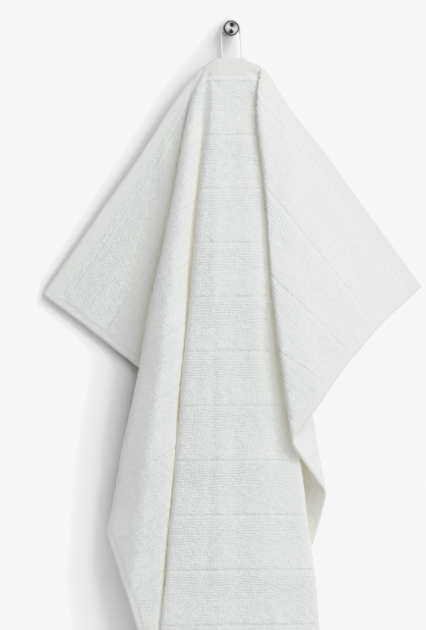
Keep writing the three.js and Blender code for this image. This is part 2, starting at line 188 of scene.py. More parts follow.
def hang(across, down):
    """The middle surface at arrays of cloth coordinates."""
    shape = across.shape
    u, v = across.ravel().astype(float), down.ravel().astype(float)
    points = np.empty((len(u), 3))
    left, right = u < -STRIP_LEFT, u > STRIP_RIGHT
    middle = ~(left | right)
    for mask, folds, sign, strip in ((left, LEFT_FOLDS, -1, STRIP_LEFT),
                                     (right, RIGHT_FOLDS, 1, STRIP_RIGHT)):
        du = np.abs(u[mask]) - strip
        distance = np.hypot(du, v[mask])
        angle = np.degrees(np.arctan2(du, v[mask]))
        points[mask] = fan(folds, sign, strip, distance, angle)
    forward = along(PANEL_FORWARD, v[middle])
    lift = np.arcsin(forward / np.maximum(v[middle], 1e-6))
    points[middle] = np.stack([
        u[middle],
        HANG_Y - v[middle] * np.sin(lift),
        HEM_TOP_Z - v[middle] * np.cos(lift),
    ], -1)
    for place, drop, reach in SHOULDERS:
        points[:, 2] -= drop * np.exp(-((u - place) ** 2 + v ** 2) / reach ** 2)
    return points.reshape(*shape, 3)


def normals(across, down, step=1.2):
    """Unit normals out of the towel's front face."""
    du = (hang(np.clip(across + step, -CLOTH_HALF, CLOTH_HALF), down)
          - hang(np.clip(across - step, -CLOTH_HALF, CLOTH_HALF), down))
    dv = (hang(across, np.clip(down + step, 0, CLOTH_LENGTH))
          - hang(across, np.clip(down - step, 0, CLOTH_LENGTH)))
    n = np.cross(dv, du)
    return n / np.maximum(np.linalg.norm(n, axis=-1, keepdims=True), 1e-9)


# Weave and hems: the flat bands at the edges, and the grooves woven across the terry.
HEADER = 15.5
SIDE_HEM = 6.5
HEM_DROP, HEM_RIDGE = 0.24, 0.06
FIRST_GROOVE = 63.0
GROOVE_STEP = 43.3
GROOVES = np.arange(FIRST_GROOVE, CLOTH_LENGTH - HEADER, GROOVE_STEP)
GROOVE_DEPTH, GROOVE_WIDTH = 0.24, 1.4
# A low rib lies between two grooves.
RIB_BELOW, RIB_HEIGHT, RIB_WIDTH = 25.5, 0.10, 2.4
# The swell rises below the top hem and fades towards the sides.
SWELL_RISE, SWELL_FADE, SWELL_PAST = 70.0, 80.0, 30.0

# Creases, listed one by one: a line across the cloth and down, its half width and its height.
CREASES = (
    # the gathered header below the loop
    (-12.5, 0, -12.0, 17, 1.1, 0.55),
    (-9.4, 0, -9.2, 19, 1.0, 0.50),
    (-6.4, 0, -6.6, 18, 1.0, 0.50),
    (-3.5, 0, -3.8, 16, 1.0, 0.40),
    (-0.6, 0, -1.0, 14, 1.0, 0.30),
    (12, 9, 21, 14, 2.2, -0.9),
    (15, 17, 19, 30, 3.0, 0.8),
    # short pulls where the right ridge leaves the header
    (31, 6, 40, 15, 1.6, -0.8),
    (36, 3, 48, 12, 1.6, 0.7),
    (45, 9, 56, 22, 2.0, -0.6),
    # and on the left, at the pleat's top
    (-24, 12, -31, 19, 1.6, -0.8),
    (-33, 3, -44, 14, 1.8, 0.7),
    (-42, 8, -60, 24, 2.4, -0.6),
    # long soft folds in the wings and down the panel
    (70, 10, 150, 70, 7.0, 0.9),
    (95, 45, 190, 120, 9.0, -1.0),
    (-95, 20, -190, 95, 8.0, 0.9),
    (-80, 50, -170, 140, 9.0, -1.0),
    (-12, 30, -17, 210, 3.0, 0.4),
    (-17, 230, -24, 420, 3.5, -0.7),
    (8, 60, 16, 260, 6.0, 0.7),
    (-2, 300, 6, 520, 8.0, -0.8),
    (30, 440, 42, 640, 6.0, 0.8),
    (-80, 150, -110, 300, 5.0, 0.8),
    (-100, 330, -150, 520, 6.0, -0.9),
)


def waves(count, shortest, longest, height):
    """Plane waves in every direction across the cloth that add up to a soft random relief."""
    length = RNG.uniform(shortest, longest, count)
    turn = RNG.uniform(0, 2 * math.pi, count)
    phase = RNG.uniform(0, 2 * math.pi, count)
    share = height * math.sqrt(2 / count)
    return list(zip(2 * math.pi * np.cos(turn) / length, 2 * math.pi * np.sin(turn) / length,
                    phase, [share] * count))


SWELL = waves(count=10, shortest=55, longest=130, height=0.45)
LUMPS = waves(count=28, shortest=5.5, longest=14, height=0.12)


def bump(x, width):
    """A rounded ridge of height 1 at x = 0."""
    return np.exp(-(x / width) ** 2)


def undulation(across, down):
    """How far the cloth stands out of its smooth folds, in millimetres."""
    height = np.zeros_like(across)
    for ku, kv, phase, share in SWELL:
        height += share * np.sin(ku * across + kv * down + phase)
    from_side = CLOTH_HALF + SWELL_PAST - np.abs(across)
    height *= smooth(down / SWELL_RISE) * smooth(from_side / SWELL_FADE)
    for u0, v0, u1, v1, width, rise in CREASES:
        du, dv = u1 - u0, v1 - v0
        t = ((across - u0) * du + (down - v0) * dv) / (du * du + dv * dv)
        t = np.clip(t, 0, 1)
        away = np.hypot(across - u0 - t * du, down - v0 - t * dv)
        height += rise * bump(away, width * (0.75 + 0.5 * t))
    return height


def relief(across, down):
    """Height of the woven face above the flat cloth, in millimetres."""
    side = CLOTH_HALF - np.abs(across)
    end = np.minimum(down, CLOTH_LENGTH - down)
    inside = np.minimum(side - SIDE_HEM, end - HEADER)
    terry = smooth((inside + 1.2) / 3.6)
    # the hems of the left wing's upper part hardly stand off from its terry
    shown = 1 - 0.7 * smooth((-across - 40) / 40) * (down < 0.3 * CLOTH_LENGTH)
    height = -HEM_DROP * (1 - terry) * shown
    height += HEM_RIDGE * bump(inside + 2.4, 0.9) * shown
    for ku, kv, phase, share in LUMPS:
        height += share * terry * np.sin(ku * across + kv * down + phase)
    for groove in GROOVES:
        height -= GROOVE_DEPTH * bump(down - groove, GROOVE_WIDTH) * terry
        height += RIB_HEIGHT * bump(down - groove - RIB_BELOW, RIB_WIDTH) * terry
    return height


def spaced(low, high, step, fine_at, fine_half, fine_step):
    """Grid lines at an even step, closer together about each fine place."""
    lines = set(np.round(np.linspace(low, high, int(round((high - low) / step)) + 1), 3))
    for place in fine_at:
        near = [line for line in lines
                if abs(line - place) < fine_half and low < line < high]
        lines.difference_update(near)
        count = int(round(2 * fine_half / fine_step))
        for k in range(count + 1):
            line = round(place - fine_half + k * fine_step, 3)
            if low < line < high:
                lines.add(line)
    return np.array(sorted(lines))


def new_object(name, points, faces, uv=None, smooth_shading=True):
    """A mesh object from points in millimetres, with the cloth's coordinates where given."""
    mesh = bpy.data.meshes.new(name)
    mesh.from_pydata([tuple(p) for p in np.asarray(points) * MM], [], faces)
    mesh.validate()
    if uv is not None:
        layer = mesh.uv_layers.new(name="cloth")
        corner = np.zeros(len(mesh.loops), np.int32)
        mesh.loops.foreach_get("vertex_index", corner)
        layer.data.foreach_set("uv", (np.asarray(uv)[corner]).astype(np.float32).ravel())
    if smooth_shading:
        mesh.polygons.foreach_set("use_smooth", np.ones(len(mesh.polygons), bool))
    mesh.update()
    obj = bpy.data.objects.new(name, mesh)
    bpy.context.scene.collection.objects.link(obj)
    return obj


def grid_faces(rows, columns, start, flip):
    """The four-sided faces of a grid of points whose first has the number start."""
    index = start + np.arange(rows * columns).reshape(rows, columns)
    a, b = index[:-1, :-1].ravel(), index[:-1, 1:].ravel()
    c, d = index[1:, 1:].ravel(), index[1:, :-1].ravel()
    quads = np.stack([a, b, c, d] if flip else [a, d, c, b], -1)
    return quads.tolist()


def rim_of(index):
    """The vertices round a grid's edge, in order."""
    return np.concatenate([index[:, 0], index[-1, 1:],
                           index[:-1, -1][::-1], index[0, 1:-1][::-1]])


# The grid's steps, closer together beside the hems and grooves.
COLUMN_STEP, ROW_STEP, FINE_STEP = 2.5, 2.7, 0.8
COLUMN_FINE_HALF, ROW_FINE_HALF = 3.2, 2.8


def joined_rims(outer, inner, place):
    """Triangles between two rims that go round the cloth side by side."""
    def travel(rim):
        closed = place[np.append(rim, rim[0])]
        steps = np.hypot(*np.diff(closed, axis=0).T)
        return np.concatenate([[0], np.cumsum(steps)])

    s_outer, s_inner = travel(outer), travel(inner)
    outer, inner = outer.tolist(), inner.tolist()
    triangles = []
    i = j = 0
    while i < len(outer) or j < len(inner):
        a, b = outer[i % len(outer)], inner[j % len(inner)]
        if j >= len(inner) or (i < len(outer) and s_outer[i + 1] <= s_inner[j + 1] + 1e-9):
            i += 1
            triangles.append((a, b, outer[i % len(outer)]))
        else:
            j += 1
            triangles.append((a, b, inner[j % len(inner)]))
    return triangles


def make_towel():
    """The sheet: a fine front face, a coarser back face and the rim that joins them."""
    hem_columns = (-CLOTH_HALF + SIDE_HEM - 1, CLOTH_HALF - SIDE_HEM + 1)
    hem_rows = (HEADER - 1, CLOTH_LENGTH - HEADER + 1)
    columns = spaced(-CLOTH_HALF, CLOTH_HALF, COLUMN_STEP, hem_columns,
                     COLUMN_FINE_HALF, FINE_STEP)
    rows = spaced(0, CLOTH_LENGTH, ROW_STEP, (*hem_rows, *GROOVES), ROW_FINE_HALF, FINE_STEP)
    u, v = np.meshgrid(columns, rows)
    rise = undulation(u, v) + CLOTH_THICKNESS / 2 + relief(u, v)
    front = hang(u, v) + normals(u, v) * rise[..., None]

    back_columns = np.unique(np.append(columns[::2], columns[-1]))
    back_rows = np.unique(np.append(rows[::2], rows[-1]))
    ub, vb = np.meshgrid(back_columns, back_rows)
    rise = undulation(ub, vb) - CLOTH_THICKNESS / 2 - relief(ub, vb)
    back = hang(ub, vb) + normals(ub, vb) * rise[..., None]

    outer = rim_of(np.arange(u.size).reshape(u.shape))
    inner = rim_of(u.size + np.arange(ub.size).reshape(ub.shape))
    place = np.stack([np.concatenate([u.ravel(), ub.ravel()]),
                      np.concatenate([v.ravel(), vb.ravel()])], -1)
    faces = (grid_faces(*u.shape, 0, False) + grid_faces(*ub.shape, u.size, True)
             + joined_rims(outer, inner, place))
    points = np.concatenate([front.reshape(-1, 3), back.reshape(-1, 3)])
    return new_object("towel_cloth", points, faces, (place + [CLOTH_HALF, 0]) * MM)


towel = make_towel()

# Stitches along the hems.
STITCH_PITCH, STITCH_LENGTH, STITCH_RADIUS = 3.4, 2.3, 0.22
STITCH_JITTER = 0.15
STITCH_INSET = 1.6
LINE_END = 2
STITCH_SIDES = 5
# A stitch's rings: place along it, and height above the woven face.
STITCH_RINGS = ((0.0, -0.15), (0.25, 0.12), (0.75, 0.12), (1.0, -0.15))
AHEAD = 0.05


def stitch_ends():
    """Where each stitch starts and ends in the cloth, along the inner edge of every hem."""
    u, v = CLOTH_HALF - SIDE_HEM + STITCH_INSET, HEADER - STITCH_INSET
    last_u, last_v = CLOTH_HALF - LINE_END, CLOTH_LENGTH - LINE_END
    lines = (
        ((-u, LINE_END), (-u, last_v)),
        ((u, LINE_END), (u, last_v)),
        ((-last_u, v), (last_u, v)),
        ((-last_u, CLOTH_LENGTH - v), (last_u, CLOTH_LENGTH - v)),
    )
    starts, ends = [], []
    for (u0, v0), (u1, v1) in lines:
        length = math.hypot(u1 - u0, v1 - v0)
        direction = np.array([(u1 - u0) / length, (v1 - v0) / length])
        for k in range(int(length / STITCH_PITCH)):
            jitter = RNG.uniform(-STITCH_JITTER, STITCH_JITTER)
            at = np.array([u0, v0]) + direction * (k * STITCH_PITCH + jitter)
            starts.append(at)
            ends.append(at + direction * STITCH_LENGTH)
    return np.array(starts), np.array(ends)


def stitch_ring(at, step, face, depth):
    """A ring of points about each stitch's line, on the front (1) or the back (-1)."""
    middle, n = hang(at[:, 0], at[:, 1]), normals(at[:, 0], at[:, 1])
    further = np.clip(at + step * AHEAD, [-CLOTH_HALF, 0], [CLOTH_HALF, CLOTH_LENGTH])
    ahead = hang(*further.T) - middle
    ahead /= np.maximum(np.linalg.norm(ahead, axis=1, keepdims=True), 1e-9)
    side = np.cross(ahead, n)
    height = CLOTH_THICKNESS / 2 + relief(at[:, 0], at[:, 1]) + depth
    rise = undulation(at[:, 0], at[:, 1]) + face * height
    centre = middle + n * rise[:, None]
    turns = [2 * math.pi * k / STITCH_SIDES for k in range(STITCH_SIDES)]
    return [centre + STITCH_RADIUS * (side * math.cos(a) + n * math.sin(a)) for a in turns]


def stitch_faces(rings):
    """The faces of one stitch, from the numbers of its rings' points."""
    faces = []
    for near, far in zip(rings[:-1], rings[1:]):
        for k in range(STITCH_SIDES):
            m = (k + 1) % STITCH_SIDES
            faces.append((near[k], near[m], far[m], far[k]))
    faces.append(tuple(rings[0][::-1]))
    faces.append(tuple(rings[-1]))
    return faces


def make_stitches():
    """Short raised stitches along the inner edge of every hem, on both faces."""
    starts, ends = stitch_ends()
    points, uv = [], []
    for face in (1, -1):
        for t, depth in STITCH_RINGS:
            at = starts + (ends - starts) * t
            points += stitch_ring(at, ends - starts, face, depth)
            uv += [at] * STITCH_SIDES
    points, uv = np.stack(points, 1), np.stack(uv, 1)
    shape = (2 * len(starts), len(STITCH_RINGS), STITCH_SIDES)
    numbers = np.arange(math.prod(shape)).reshape(shape).tolist()
    faces = [face for rings in numbers for face in stitch_faces(rings)]
    uv = (uv.reshape(-1, 2) + [CLOTH_HALF, 0]) * MM
    return new_object("hem_stitches", points.reshape(-1, 3), faces, uv)


stitches = make_stitches()

# The hanging loop.
TAPE_WIDTH, TAPE_THICKNESS = 6.0, 1.1
TAPE_INNER = 7.15
TAPE_TOP_RADIUS = 7.15
STRAND_LENGTH, STRAND_STEPS, ARCH_STEPS = 38, 60, 42
# Down each strand: height, place from front to back, and turn of the tape from edge-on.
STRAND = (
    (0, -11.5, 0), (-7, -13.1, 6), (-14, -14.9, 15), (-20, -16.7, 26), (-23.5, -17.9, 37),
    (-26, -18.9, 62), (-29, -19.9, 86), (-33, -20.1, 90), (-38, -20.1, 90),
)
TAPE_CORDS, CORD_HEIGHT, CORD_SUNK, CORD_STEPS = 9, 0.10, 0.12, 4


def tape_course():
    """Middle, width direction and outward direction along the tape, finely spaced."""
    def strand(sign):
        heights = np.linspace(0, -STRAND_LENGTH, STRAND_STEPS)
        xs = -np.array([row[0] for row in STRAND], float)
        ys = np.interp(-heights, xs, [row[1] for row in STRAND])
        turns = np.radians(np.interp(-heights, xs, [row[2] for row in STRAND]))
        seen = (TAPE_WIDTH * np.sin(turns) + TAPE_THICKNESS * np.cos(turns)) / 2
        zero = 0 * heights
        return (np.stack([sign * (TAPE_INNER + seen), ys, heights], -1),
                np.stack([-sign * np.sin(turns), -np.cos(turns), zero], -1),
                np.stack([sign * np.cos(turns), -np.sin(turns), zero], -1))

    a = np.linspace(math.pi, 0, ARCH_STEPS)[1:-1]
    zero = 0 * a
    arch = (np.stack([(TAPE_INNER + TAPE_THICKNESS / 2) * np.cos(a), zero + STRAND[0][1],
                      TAPE_TOP_RADIUS * np.sin(a)], -1),
            np.stack([zero, zero - 1, zero], -1),
            np.stack([np.cos(a), zero, np.sin(a)], -1))
    left, right = strand(-1), strand(1)
    return [np.concatenate([left[k][::-1], arch[k], right[k]]) for k in range(3)]


def make_tape():
    """The tape: corded on both faces, with a closed end behind each side of the hem."""
    middle, across, outward = tape_course()
    length = np.concatenate([[0], np.cumsum(np.linalg.norm(np.diff(middle, axis=0), axis=1))])
    half_w, half_t = TAPE_WIDTH / 2, TAPE_THICKNESS / 2
    profile = []
    steps = CORD_STEPS * TAPE_CORDS
    for k in range(steps + 1):
        w = -half_w + TAPE_WIDTH * k / steps
        ridge = CORD_HEIGHT * abs(math.sin(math.pi * TAPE_CORDS * k / steps))
        profile.append((w, half_t - CORD_SUNK + ridge))
    profile += [(w, -t) for w, t in reversed(profile)]
    ring = np.array(profile)
    points = (middle[:, None] + across[:, None] * ring[None, :, :1]
              + outward[:, None] * ring[None, :, 1:])
    rows, cols = points.shape[:2]
    faces = []
    for r in range(rows - 1):
        for c in range(cols):
            d = (c + 1) % cols
            a, b = r * cols + c, r * cols + d
            faces.append((a, a + cols, b + cols, b))
    faces.append(tuple(range(cols)))
    faces.append(tuple(range((rows - 1) * cols, rows * cols))[::-1])
    uv = np.stack(np.broadcast_arrays(ring[None, :, 0] + half_w, length[:, None]), -1)
    return new_object("loop_tape", points.reshape(-1, 3), faces, uv.reshape(-1, 2) * MM)


tape = make_tape()

# The peg: its face has a fine groove round it, and its edge is soft.
PEG_RADIUS, PEG_LENGTH = 6.3, 20.0
PEG_GROOVE, PEG_GROOVE_HALF, PEG_GROOVE_DEPTH, PEG_GROOVE_STEPS = 5.2, 0.22, 0.3, 6
PEG_EDGE, PEG_EDGE_STEPS = 0.5, 8
PEG_SIDES = 128
WELD_DISTANCE = 1e-6


def peg_outline():
    """Radius and place along the peg, from the middle of its face round to its back."""
    outline = [(r, PEG_LENGTH) for r in (0.0, 2.0, 4.0, 4.95)]
    for k in range(PEG_GROOVE_STEPS + 1):
        a = math.pi * k / PEG_GROOVE_STEPS
        outline.append((PEG_GROOVE - PEG_GROOVE_HALF * math.cos(a),
                        PEG_LENGTH - PEG_GROOVE_DEPTH * math.sin(a)))
    outline.append((5.5, PEG_LENGTH))
    for k in range(PEG_EDGE_STEPS + 1):
        a = math.pi / 2 * k / PEG_EDGE_STEPS
        outline.append((PEG_RADIUS - PEG_EDGE + PEG_EDGE * math.sin(a),
                        PEG_LENGTH - PEG_EDGE + PEG_EDGE * math.cos(a)))
    outline += [(PEG_RADIUS, y) for y in (19, 15, 10, 5, 0.4)]
    outline += [(PEG_RADIUS - 0.3, 0.0), (3.0, 0.0), (0.0, 0.0)]
    return outline


def make_peg():
    """The turned peg: its outline swept round, with the doubled points at its ends welded."""
    outline = peg_outline()
    points, faces = [], []
    for radius, y in outline:
        for k in range(PEG_SIDES):
            a = 2 * math.pi * k / PEG_SIDES
            points.append((radius * math.cos(a), -y, radius * math.sin(a)))
    for r in range(len(outline) - 1):
        for k in range(PEG_SIDES):
            m = (k + 1) % PEG_SIDES
            a, b = r * PEG_SIDES + k, r * PEG_SIDES + m
            if outline[r][0] == 0:
                faces.append((a, b + PEG_SIDES, a + PEG_SIDES))
            elif outline[r + 1][0] == 0:
                faces.append((a, b, a + PEG_SIDES))
            else:
                faces.append((a, b, b + PEG_SIDES, a + PEG_SIDES))
    obj = new_object("turned_peg", points, faces)
    mesh = bmesh.new()
    mesh.from_mesh(obj.data)
    bmesh.ops.remove_doubles(mesh, verts=mesh.verts, dist=WELD_DISTANCE)
    bmesh.ops.recalc_face_normals(mesh, faces=mesh.faces)
    mesh.to_mesh(obj.data)
    mesh.free()
    return obj


peg = make_peg()


class Nodes:
    """A material's node tree, written as short calls."""

    def __init__(self, name):
        self.material = bpy.data.materials.new(name)
        self.material.use_nodes = True
        self.tree = self.material.node_tree
        self.shader = self.tree.nodes["Principled BSDF"]
        self.output = self.tree.nodes["Material Output"]

    def add(self, kind, **settings):
        """A new node with its own settings."""
        node = self.tree.nodes.new(kind)
        for key, value in settings.items():
            setattr(node, key, value)
        return node

    def join(self, source, target):
        self.tree.links.new(source, target)

    def math(self, operation, a, b=None, c=None):
        """A calculation with numbers or sockets."""
        node = self.add("ShaderNodeMath", operation=operation)
        for socket, value in zip(node.inputs, (a, b, c)):
            if value is None:
                continue
            if isinstance(value, (int, float)):
                socket.default_value = value
            else:
                self.join(value, socket)
        return node.outputs[0]

    def between(self, value, low, high, to_low=0.0, to_high=1.0):
        """A soft step from one number to another as the value goes from low to high."""
        node = self.add("ShaderNodeMapRange", interpolation_type="SMOOTHSTEP")
        self.join(value, node.inputs["Value"])
        for key, number in (("From Min", low), ("From Max", high),
                            ("To Min", to_low), ("To Max", to_high)):
            node.inputs[key].default_value = number
        return node.outputs["Result"]

    def noise(self, vector, scale, detail=2.0, roughness=0.5):
        node = self.add("ShaderNodeTexNoise")
        self.join(vector, node.inputs["Vector"])
        node.inputs["Scale"].default_value = scale
        node.inputs["Detail"].default_value = detail
        node.inputs["Roughness"].default_value = roughness
        return node.outputs["Fac"]

    def mix(self, factor, a, b):
        """A colour between two, each a socket or three numbers."""
        node = self.add("ShaderNodeMix", data_type="RGBA")
        first, second = [s for s in node.inputs if s.type == "RGBA"]
        for socket, value in ((node.inputs[0], factor), (first, a), (second, b)):
            if isinstance(value, (int, float)):
                socket.default_value = value
            elif isinstance(value, tuple):
                socket.default_value = (*value, 1.0)
            else:
                self.join(value, socket)
        return [s for s in node.outputs if s.type == "RGBA"][0]

    def parts(self, vector):
        """The three parts of a vector."""
        node = self.add("ShaderNodeSeparateXYZ")
        self.join(vector, node.inputs[0])
        return node.outputs

    def cloth_place(self):
        """The cloth's own coordinates, and its millimetres across and down."""
        uv = self.add("ShaderNodeUVMap", uv_map="cloth").outputs[0]
        place = self.parts(uv)
        across = self.math("MULTIPLY", place[0], 1 / MM)
        down = self.math("MULTIPLY", place[1], 1 / MM)
        return uv, across, down

    def bump(self, height, strength, distance):
        """Raises the surface by a height, in the material only."""
        node = self.add("ShaderNodeBump")
        node.inputs["Strength"].default_value = strength
        node.inputs["Distance"].default_value = distance
        self.join(height, node.inputs["Height"])
        self.join(node.outputs[0], self.shader.inputs["Normal"])

    def set(self, **values):
        """Values for the shader's inputs, with _ for a space."""
        for key, value in values.items():
            self.shader.inputs[key.replace("_", " ")].default_value = value


# The terry's weave: the pitch of its rows and columns of loops and of the hems' plain weave.
LOOP_ROWS, LOOP_COLUMNS, PLAIN_PITCH = 2.15, 1.8, 0.9
# Colours of the terry, darker between its loops as painted shade and lighter on them, of a
# groove's painted shade, and of the hems.
TERRY_LOW_SHADE_AND_TONE, TERRY_HIGH = (0.694, 0.702, 0.660), (0.838, 0.844, 0.806)
GROOVE_PAINTED_SHADE = (0.64, 0.64, 0.58)
HEM_LOW, HEM_HIGH = (0.732, 0.731, 0.688), (0.770, 0.768, 0.728)
# the colour of the header's painted shade
HEADER_PAINTED_SHADE = (0.700, 0.690, 0.640)
# Painted light deep between the folds: the white cloth is given a lighter, warm and creamy
# colour and a faint glow there, standing in for light bounced between the folds.
CREASE_PAINTED_BOUNCE, CREASE_PAINTED_GLOW = (0.93, 0.905, 0.785), (1.0, 0.93, 0.76, 1.0)
CREASE_PAINTED_REACH, CREASE_PAINTED_GLOW_STRENGTH = 0.030, 0.045


def distance_inside(m, across, down):
    """How far a place is from the nearer end, and how far inside the hems."""
    from_middle = m.math("ABSOLUTE", m.math("SUBTRACT", across, CLOTH_HALF))
    side = m.math("SUBTRACT", CLOTH_HALF, from_middle)
    end = m.math("MINIMUM", down, m.math("SUBTRACT", CLOTH_LENGTH, down))
    inside = m.math("MINIMUM", m.math("SUBTRACT", side, SIDE_HEM),
                    m.math("SUBTRACT", end, HEADER))
    return end, inside


def weave_repeat(m, down, quick):
    """The groove, and the rougher band of open weave that lies below it."""
    from_first = m.math("SUBTRACT", m.math("MULTIPLY_ADD", quick, 0.9, down), FIRST_GROOVE)
    turns = m.math("DIVIDE", m.math("ADD", from_first, GROOVE_STEP * 4), GROOVE_STEP)
    repeat = m.math("MULTIPLY", m.math("FRACT", turns), GROOVE_STEP)
    from_groove = m.math("MINIMUM", repeat, m.math("SUBTRACT", GROOVE_STEP, repeat))
    groove = m.between(from_groove, 0.2, 1.5, 1.0, 0.0)
    waffle = m.math("MULTIPLY", m.between(repeat, 1.0, 6.0),
                    m.between(repeat, 19.0, 27.0, 1.0, 0.0))
    return groove, waffle


def loop_pile(m, across, down, drift, uneven):
    """Rounded loops in rows, each a little higher or lower than the next."""
    wavy_down = m.math("ADD", down, drift)
    wavy_across = m.math("SUBTRACT", across, m.math("MULTIPLY", drift, 1.25))
    row = m.math("SINE", m.math("MULTIPLY", wavy_down, math.pi / LOOP_ROWS))
    column = m.math("SINE", m.math("MULTIPLY", wavy_across, math.pi / LOOP_COLUMNS))
    row, column = m.math("POWER", row, 2.0), m.math("POWER", column, 2.0)
    loop = m.math("MULTIPLY", m.math("MULTIPLY_ADD", row, 0.7, 0.3),
                  m.math("MULTIPLY_ADD", column, 0.45, 0.55))
    return m.math("MULTIPLY", loop, m.math("MULTIPLY_ADD", uneven, 0.9, 0.35))


def plain_weave(m, across, down, clumps, uneven):
    """The hems' fine plain weave."""
    warp = m.math("SINE", m.math("MULTIPLY", across, 2 * math.pi / PLAIN_PITCH))
    weft = m.math("SINE", m.math("MULTIPLY", down, 2 * math.pi / PLAIN_PITCH))
    plain = m.math("MULTIPLY", m.math("MULTIPLY", warp, weft), 0.07)
    plain = m.math("MULTIPLY_ADD", clumps, 0.50, plain)
    return m.math("MULTIPLY_ADD", uneven, 0.40, plain)


def terry_material():
    m = Nodes("white_ribbed_terry")
    uv, across, down = m.cloth_place()

    # a slow and a quick wander keep the rows of loops from running dead straight
    slow = m.math("SUBTRACT", m.noise(uv, 45.0, 1.0), 0.5)
    quick = m.math("SUBTRACT", m.noise(uv, 260.0, 1.0), 0.5)
    drift = m.math("MULTIPLY_ADD", slow, 4.0, m.math("MULTIPLY", quick, 2.4))
    end, inside = distance_inside(m, across, down)
    terry = m.between(m.math("ADD", inside, m.math("MULTIPLY", quick, 3.0)), -1.8, 1.4)
    groove, waffle = weave_repeat(m, down, quick)
    groove = m.math("MULTIPLY", groove, terry)

    # patches of the terry show their loops more than others, and the open weave most of all
    patch = m.between(m.noise(uv, 24.0, 2.0), 0.42, 0.62)
    shown = m.math("MULTIPLY_ADD", waffle, 0.65, m.math("MULTIPLY_ADD", patch, 0.15, 0.25))
    uneven = m.noise(uv, 480.0, 2.0, 0.6)
    clumps = m.noise(uv, 210.0, 2.0, 0.6)
    fuzz = m.noise(uv, 1300.0, 1.0)
    woven = m.math("MULTIPLY", loop_pile(m, across, down, drift, uneven), shown)
    woven = m.math("MULTIPLY_ADD", uneven, m.math("MULTIPLY_ADD", waffle, -0.45, 1.00), woven)
    woven = m.math("MULTIPLY_ADD", clumps, 0.75, woven)
    woven = m.math("MULTIPLY_ADD", fuzz, 0.16, woven)

    flat = m.math("MULTIPLY", plain_weave(m, across, down, clumps, uneven),
                  m.math("SUBTRACT", 1.0, terry))
    height = m.math("ADD", m.math("MULTIPLY", woven, terry), flat)
    m.bump(m.math("SUBTRACT", height, m.math("MULTIPLY", groove, 0.35)), 0.8, 0.0008)

    # partly painted shade: the terry is darker between its loops and lighter on them; partly its
    # own tone, which varies at random
    cloth = m.mix(m.between(woven, 0.80, 1.60), TERRY_LOW_SHADE_AND_TONE, TERRY_HIGH)
    # painted shade: the colour darkens along each groove
    cloth = m.mix(m.math("MULTIPLY", groove, 0.34), cloth, GROOVE_PAINTED_SHADE)
    hem = m.mix(clumps, HEM_LOW, HEM_HIGH)
    # painted shade: the header's flat band is duller than the terry where it shows beside and
    # under the loop, standing in for the shade in the gathered header
    header = m.math("MULTIPLY", m.between(end, HEADER, HEADER + 1.5, 1.0, 0.0),
                    m.between(across, CLOTH_HALF - 60, CLOTH_HALF - 20))
    hem = m.mix(m.math("MULTIPLY", header, 0.75), hem, HEADER_PAINTED_SHADE)
    colour = m.mix(terry, hem, cloth)

    # painted light: where little of the room is open to the cloth, its colour turns lighter and
    # warmer and it glows a little, as bounce light between the folds
    open_to_room = m.add("ShaderNodeAmbientOcclusion", samples=6, only_local=True)
    open_to_room.inputs["Distance"].default_value = CREASE_PAINTED_REACH
    painted_bounce = m.between(open_to_room.outputs["AO"], 0.10, 0.85, 1.0, 0.0)
    m.join(m.mix(painted_bounce, colour, CREASE_PAINTED_BOUNCE), m.shader.inputs["Base Color"])
    m.join(m.math("MULTIPLY", painted_bounce, CREASE_PAINTED_GLOW_STRENGTH), m.shader.inputs["Emission Strength"])
    m.set(Emission_Color=CREASE_PAINTED_GLOW)
    m.set(Roughness=0.92, Specular_IOR_Level=0.2, Sheen_Weight=0.12, Sheen_Roughness=0.6)
    return m.material


def thread_material():
    m = Nodes("white_thread")
    uv = m.add("ShaderNodeUVMap", uv_map="cloth").outputs[0]
    twist = m.noise(uv, 2600.0, 2.0, 0.6)
    m.bump(twist, 0.4, 0.0002)
    m.join(m.mix(twist, (0.76, 0.755, 0.70), (0.83, 0.825, 0.77)), m.shader.inputs["Base Color"])
    m.set(Roughness=0.8, Specular_IOR_Level=0.3)
    return m.material


# The tape's chevrons: the width of one, its slant and the pitch of its threads.
CHEVRON_WIDTH, CHEVRON_SLANT, CHEVRON_PITCH = 1.34, 1.1, 0.75


def tape_material():
    m = Nodes("woven_tape")
    uv, across, down = m.cloth_place()
    in_chevron = m.math("FRACT", m.math("DIVIDE", across, CHEVRON_WIDTH))
    from_spine = m.math("ABSOLUTE", m.math("SUBTRACT", in_chevron, 0.5))
    slant = m.math("ADD", down, m.math("MULTIPLY", from_spine, CHEVRON_SLANT))
    chevron = m.math("SINE", m.math("MULTIPLY", slant, 2 * math.pi / CHEVRON_PITCH))
    fuzz = m.noise(uv, 1500.0, 2.0, 0.6)
    m.bump(m.math("ADD", m.math("MULTIPLY", chevron, 0.35), m.math("MULTIPLY", fuzz, 0.6)),
           0.6, 0.0003)
    m.join(m.mix(fuzz, (0.80, 0.80, 0.77), (0.87, 0.87, 0.84)), m.shader.inputs["Base Color"])
    m.set(Roughness=0.85, Specular_IOR_Level=0.25, Sheen_Weight=0.15)
    return m.material


STEEL_LOW, STEEL_HIGH = (0.30, 0.30, 0.29), (0.46, 0.46, 0.45)
# the dark of the peg face's painted reflection, above and below its centre
STEEL_PAINTED_REFLECTION_DARK = (0.022, 0.022, 0.030)
RING_TINT = (0.26, 0.265, 0.235)
RIM_TINT = (0.045, 0.045, 0.045)


